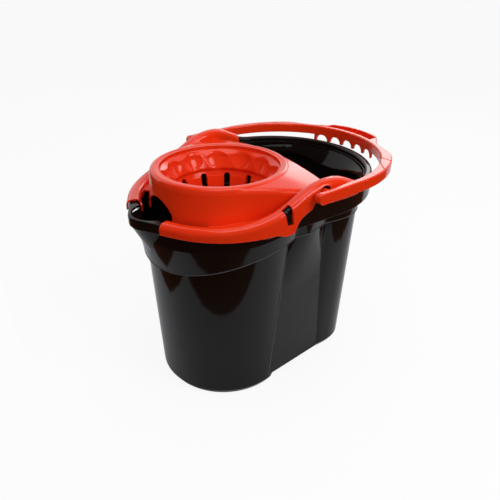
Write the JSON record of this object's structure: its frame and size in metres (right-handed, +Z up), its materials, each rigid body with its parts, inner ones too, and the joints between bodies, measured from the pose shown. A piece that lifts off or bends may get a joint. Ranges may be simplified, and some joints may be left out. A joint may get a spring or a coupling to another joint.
{
  "type": "mop bucket with wringer",
  "caption": "Two-lobed plastic mop bucket with a pouring spout, a lift-off wringer with a fluted, slotted cone over the front of the rim, and a swinging bail handle.",
  "frame": {"origin": "centre of the bounding box's bottom face, on the floor under the bucket", "axes": "+X towards the handle's grip at the rear, -X towards the spout, +Y to the left seen from the rear, +Z up"},
  "size_m": [0.3685, 0.2752, 0.295],
  "materials": {
    "bucket": "glossy black moulded polypropylene",
    "wringer": "glossy orange-red moulded polypropylene",
    "bail_handle": "glossy orange-red moulded polypropylene"
  },
  "bodies": {
    "bucket": {"bucket": "bucket"},
    "wringer": {"wringer": "wringer"},
    "bail_handle": {"bail_handle": "bail_handle"}
  },
  "joints": [
    {"name": "handle_swing", "type": "hinge", "parent": "bucket", "child": "bail_handle", "pos_m": [-0.01023, 0, 0.281], "axis": [0, -1, 0], "range_deg": [0, 184]},
    {"name": "wringer_lift", "type": "slide", "parent": "bucket", "child": "wringer", "axis": [0, 0, 1], "range_m": [0, 0.15]}
  ]
}
